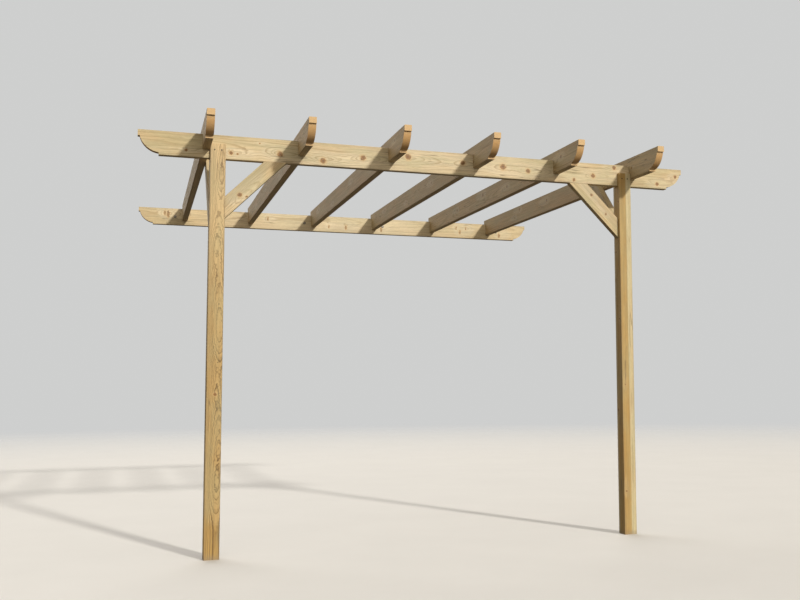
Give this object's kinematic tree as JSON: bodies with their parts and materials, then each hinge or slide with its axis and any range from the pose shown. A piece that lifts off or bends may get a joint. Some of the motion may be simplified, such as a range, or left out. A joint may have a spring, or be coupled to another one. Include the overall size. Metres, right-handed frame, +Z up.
{
  "type": "lean-to pergola",
  "caption": "Open timber lean-to pergola: a wall plate and a front beam on square slotted posts carry gently falling rafters with sawn ovolo ends, stiffened by mitred knee braces.",
  "frame": {"origin": "middle of the wall plate's rear face, the face that lies flat on the house wall", "axes": "+X along the wall to the right as seen from the garden, +Y into the wall, +Z up"},
  "size_m": [3.6, 3.606, 2.6411],
  "materials": {
    "post_timber": "planed, pressure-treated, weathering slightly green",
    "beam_timber": "planed, pressure-treated, weathering slightly green",
    "rafter_timber": "planed, pressure-treated, weathering slightly green",
    "brace_timber": "planed, pressure-treated, weathering slightly green"
  },
  "bodies": {
    "root": {"post_left": "post_timber", "post_right": "post_timber", "front_beam": "beam_timber", "wall_plate": "beam_timber", "rafter_1": "rafter_timber", "rafter_2": "rafter_timber", "rafter_3": "rafter_timber", "rafter_4": "rafter_timber", "rafter_5": "rafter_timber", "rafter_6": "rafter_timber", "brace_left_beam": "brace_timber", "brace_right_beam": "brace_timber", "brace_left_rafter": "brace_timber", "brace_right_rafter": "brace_timber"}
  },
  "joints": []
}
